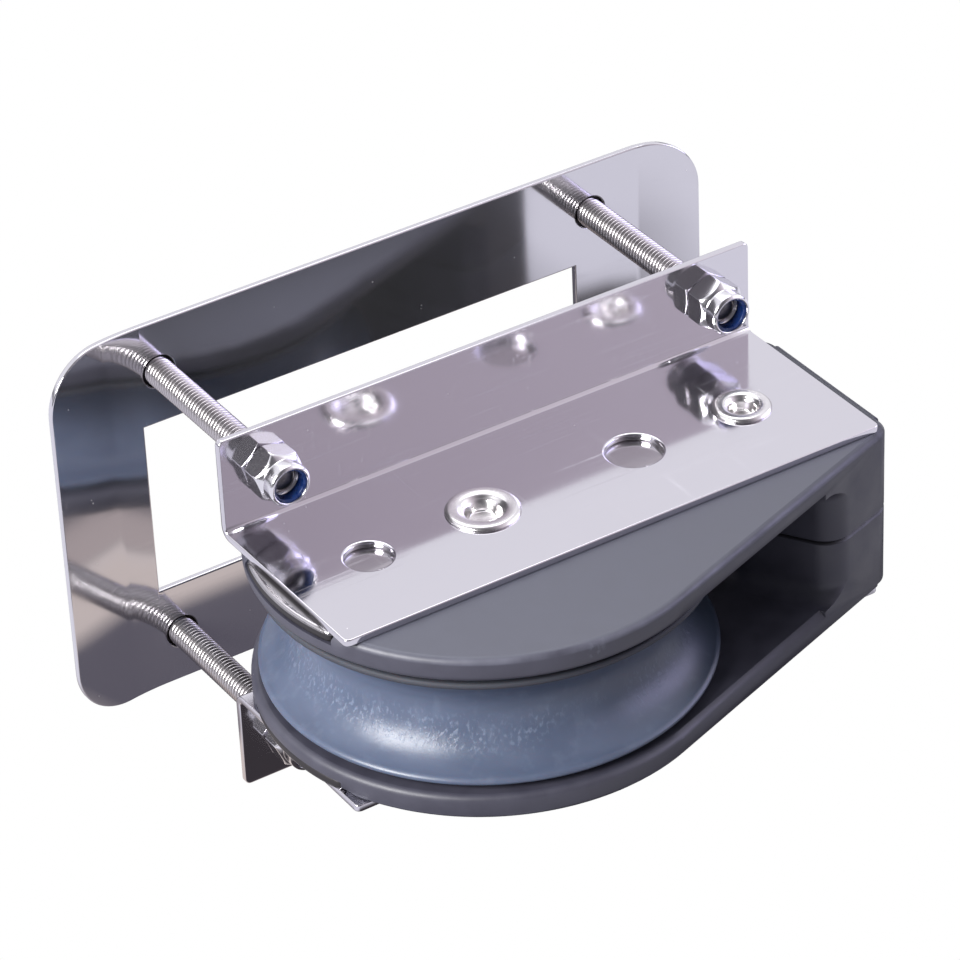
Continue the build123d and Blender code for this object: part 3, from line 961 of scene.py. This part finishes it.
# The roots of the thread get painted shade.
darkened = wire.add("GeometryNodeStoreNamedAttribute", Name="painted_shade")
wire.link(wire.math("MULTIPLY", cut, root_darkness), darkened.inputs["Value"])
weld = wire.add("GeometryNodeMergeByDistance", Distance=0.004 * mm)
real = wire.add("GeometryNodeRealizeInstances")
coat = wire.add("GeometryNodeSetMaterial")
wire.link(given["Steel"], coat.inputs["Material"])
steps = (grid, setter, darkened, weld, real, coat, wire.add("NodeGroupOutput"))
for before, after in zip(steps, steps[1:]):
    wire.link(before.outputs[0], after.inputs["Geometry"])


def from_tree(name, tree, values):
    """Run a node tree with its named inputs and keep the result as a plain mesh."""
    holder = placed(name, bpy.data.meshes.new(name + "_seed"))
    maker = holder.modifiers.new(name, "NODES")
    maker.node_group = tree
    for item in tree.interface.items_tree:
        if item.in_out == "INPUT" and item.name in values:
            maker[item.identifier] = values[item.name]
    mesh = made_mesh(holder)
    holder.modifiers.remove(maker)
    bpy.data.objects.remove(holder)
    return mesh


def pan_head(centre, front):
    """A pan head as a turned dome with a cross recess cut into its top."""
    shank_r = thread_sizes["Radius"]
    dome = [(pole_r, -neck), (shank_r, -neck), (shank_r, 0), (head_r - 0.15 * mm, 0), (head_r, 0.15 * mm)]
    dome += smooth_path([(head_r, 0.25 * head_h), (0.93 * head_r, 0.62 * head_h),
                         (0.70 * head_r, 0.88 * head_h), (0.42 * head_r, head_h), (pole_r, head_h)])
    work = bmesh.new()
    rings = []
    for radius, height in dome:
        ring = []
        for k in range(head_columns):
            a = 2 * math.pi * k / head_columns
            ring.append(work.verts.new((centre.x + radius * math.cos(a), front + height,
                                        centre.z + radius * math.sin(a))))
        rings.append(ring)
    skin(work, rings)
    bmesh.ops.remove_doubles(work, verts=work.verts, dist=0.001 * mm)
    bmesh.ops.recalc_face_normals(work, faces=work.faces)
    cutter = bmesh.new()
    for long_way in (0, 1):
        near, far = [], []
        for side_x, side_z in ((-1, -1), (1, -1), (1, 1), (-1, 1)):
            for ring, grow, height in ((near, 1.0, head_h + recess_over), (far, 0.55, head_h - recess_depth)):
                half_long, half_thin = recess_long * grow, recess_thin * (0.6 + 0.4 * grow)
                wide, tall = (half_long, half_thin) if long_way else (half_thin, half_long)
                ring.append(cutter.verts.new((centre.x + side_x * wide, front + height,
                                              centre.z + side_z * tall)))
        cutter.faces.new(near)
        cutter.faces.new(far)
        skin(cutter, (near, far))
    bmesh.ops.recalc_face_normals(cutter, faces=cutter.faces)
    holders = []
    for name, made in (("head_blank", work), ("recess_punch", cutter)):
        mesh = bpy.data.meshes.new(name)
        made.to_mesh(mesh)
        made.free()
        holders.append(placed(name, mesh))
    blank, punch = holders
    press = blank.modifiers.new("recess", "BOOLEAN")
    press.operation = "DIFFERENCE"
    press.solver = "EXACT"
    press.use_self = True
    press.object = punch
    mesh = made_mesh(blank)
    for holder in holders:
        bpy.data.objects.remove(holder)
    return mesh


for corner, spot_at in zip(corners, screw_spots):
    values = dict(thread_sizes, Place=(spot_at.x, plate_t, spot_at.z), Steel=screw_steel)
    rod = from_tree("thread_" + corner, thread_tree, values)
    work = bmesh.new()
    work.from_mesh(rod)
    for face in work.faces:
        face.smooth = True
    head = bmesh.new()
    head.from_mesh(pan_head(spot_at, plate_t))
    # Painted shade under the head, where it sits on the plate.
    painted_shade = head.verts.layers.float.new("painted_shade")
    for vertex in head.verts:
        vertex[painted_shade] = 1.0 if vertex.co.y < plate_t + 0.01 * mm else 0.0
    for face in head.faces:
        centre = face.calc_center_median()
        off_centre = Vector((centre.x, centre.z)) - Vector((spot_at.x, spot_at.z))
        on_dome = centre.y > plate_t and face.normal.y > 0.05 and off_centre.length > 0.3 * mm
        face.smooth = on_dome and face.calc_area() < (0.9 * mm) ** 2
    bmesh.ops.recalc_face_normals(head, faces=head.faces)
    merged = bpy.data.meshes.new("head_" + corner)
    head.to_mesh(merged)
    head.free()
    work.from_mesh(merged)
    as_piece("machine_screw_" + corner, work, screw_steel, "screw_steel", "plate", "screw_" + corner)


# Lock nuts: M5 stainless nuts, a hexagon with a domed top and a round collar that
# is rolled over a nylon ring. Each turns on its own screw.
nut_steel = polished_steel("nut_steel", (0.78, 0.77, 0.79), scratches=0.3, waviness=0.5, dust=0.2,
                           polish=0.17)
half_flats = 4.0 * mm
hex_corner_r = 0.28 * mm
washer_r = 3.75 * mm
collar_r = 3.65 * mm
nut_h = 7.2 * mm
lip_r = 2.95 * mm
pocket_r = 3.27 * mm
ring_low, ring_high = 4.85 * mm, 6.85 * mm
nut_bore_r = 2.55 * mm
dome_h, dome_fall, dome_width = 4.50 * mm, 1.05 * mm, 0.97 * mm
shoulder = 0.16 * mm
side_columns = 9
wall_ring = 6


def hex_columns(turn):
    """Angles and radii round a hexagon with small round corners; flats are marked."""
    reach = half_flats / math.cos(math.pi / 6) - hex_corner_r / math.cos(math.pi / 6)
    flat_end = math.atan2(reach * 0.5, half_flats)
    corner_half = math.pi / 6 - flat_end
    found = []
    for side in range(6):
        side_turn = turn + side * math.pi / 3
        for k in range(side_columns):
            a = -flat_end + 2 * flat_end * k / (side_columns - 1)
            found.append((side_turn + a, half_flats / math.cos(a), k > 0))
        for k in (1, 2, 3):
            b = -corner_half + corner_half * k / 2
            r = reach * math.cos(b) + math.sqrt(max(hex_corner_r ** 2 - (reach * math.sin(b)) ** 2, 0))
            found.append((side_turn + math.pi / 6 + b, r, False))
    return found


def dome_height(r):
    """Height of the domed top over the flange at a radius."""
    return dome_h - dome_fall * (max(r - collar_r, 0) / dome_width) ** 1.3


def lock_nut(centre, face_y, turn):
    """The nut's closed skin, rings of points from the washer face over the collar to the bore."""
    columns = hex_columns(turn)
    foot = [(r - washer_r) * 0.5 for _, r, _ in columns]
    plan = [lambda r, f: (nut_bore_r, 0.35 * mm), lambda r, f: (nut_bore_r + 0.3 * mm, 0),
            lambda r, f: (washer_r - 0.1 * mm, 0), lambda r, f: (washer_r + 0.05 * mm, 0.03 * mm),
            lambda r, f: (r - 0.10 * mm, f - 0.02 * mm), lambda r, f: (r - 0.02 * mm, f + 0.03 * mm),
            lambda r, f: (r, f + 0.12 * mm), lambda r, f: (r, dome_height(r) - 0.20 * mm),
            lambda r, f: (r - 0.045 * mm, dome_height(r) - 0.055 * mm),
            lambda r, f: (r - shoulder, dome_height(r - shoulder) - 0.005 * mm)]
    for q in (0.3, 0.5, 0.7, 0.88, 1.0):
        plan.append(lambda r, f, q=q: (
            (r - shoulder) * (1 - q) + collar_r * q,
            dome_height((r - shoulder) * (1 - q) + collar_r * q) + 0.1 * mm * q * q))
    over = smooth_path([(collar_r, 4.9 * mm), (collar_r, 6.55 * mm), (collar_r - 0.16 * mm, 6.98 * mm),
                        (collar_r - 0.42 * mm, nut_h), (lip_r + 0.06 * mm, nut_h - 0.04 * mm),
                        (lip_r, ring_high + 0.12 * mm)], 3)
    over += [(lip_r + 0.03 * mm, ring_high), (pocket_r, ring_high), (pocket_r, ring_low),
             (nut_bore_r, ring_low)]
    plan += [lambda r, f, p=p: p for p in over]
    work = bmesh.new()
    rings = []
    for rule in plan:
        ring = []
        for (a, r, _), f in zip(columns, foot):
            out_r, height = rule(r, f)
            ring.append(work.verts.new((centre.x + out_r * math.cos(a), face_y - height,
                                        centre.z + out_r * math.sin(a))))
        rings.append(ring)
    for place, face in enumerate(skin(work, rings + rings[:1])):
        number, k = divmod(place, len(columns))
        _, _, on_flat = columns[k]
        face.smooth = not (number == wall_ring and on_flat)
    return work


nut_turns = {"upper_left": 14, "upper_right": 57, "lower_left": 22, "lower_right": 40}
for corner, spot_at in zip(corners, screw_spots):
    work = lock_nut(spot_at, flange_back, math.radians(nut_turns[corner]))
    as_piece("steel_nut_" + corner, work, nut_steel, "nut_steel", "nut_" + corner, "lock_nut_" + corner)


# Nylon rings: dark blue, pressed into the collars, with a soft edge round the hole.
ring_tones = (0.006, 0.022, 0.105), (0.010, 0.036, 0.165)
ring_out, ring_in = 3.24 * mm, 2.52 * mm
ring_top, ring_foot = 6.84 * mm, 4.87 * mm
ring_nylon, wire, shader = new_material(
    "ring_nylon", {"Specular IOR Level": 0.5, "Subsurface Weight": 0.2, "Subsurface Scale": 0.5 * mm})
place_on = wire.add("ShaderNodeTexCoord").outputs["Object"]
cloud = wire.between(noise(wire, place_on, 900, 3), 0.3, 0.7)
wire.link(wire.blend(cloud, *ring_tones), shader.inputs["Base Color"])
wire.link(wire.between(cloud, 0, 1, 0.22, 0.38), shader.inputs["Roughness"])
for corner, spot_at in zip(corners, screw_spots):
    section = [(ring_out, ring_foot), (ring_out, ring_top)]
    section += smooth_path([(ring_in + 0.42 * mm, ring_top), (ring_in + 0.14 * mm, ring_top - 0.05 * mm),
                            (ring_in, ring_top - 0.3 * mm), (ring_in, ring_foot)], 3)
    work = turned(section, Vector((spot_at.x, flange_back, spot_at.z)), 64, axis="Y")
    as_piece("blue_ring_" + corner, work, ring_nylon, "ring_nylon", "nut_" + corner, "nylon_ring_" + corner)
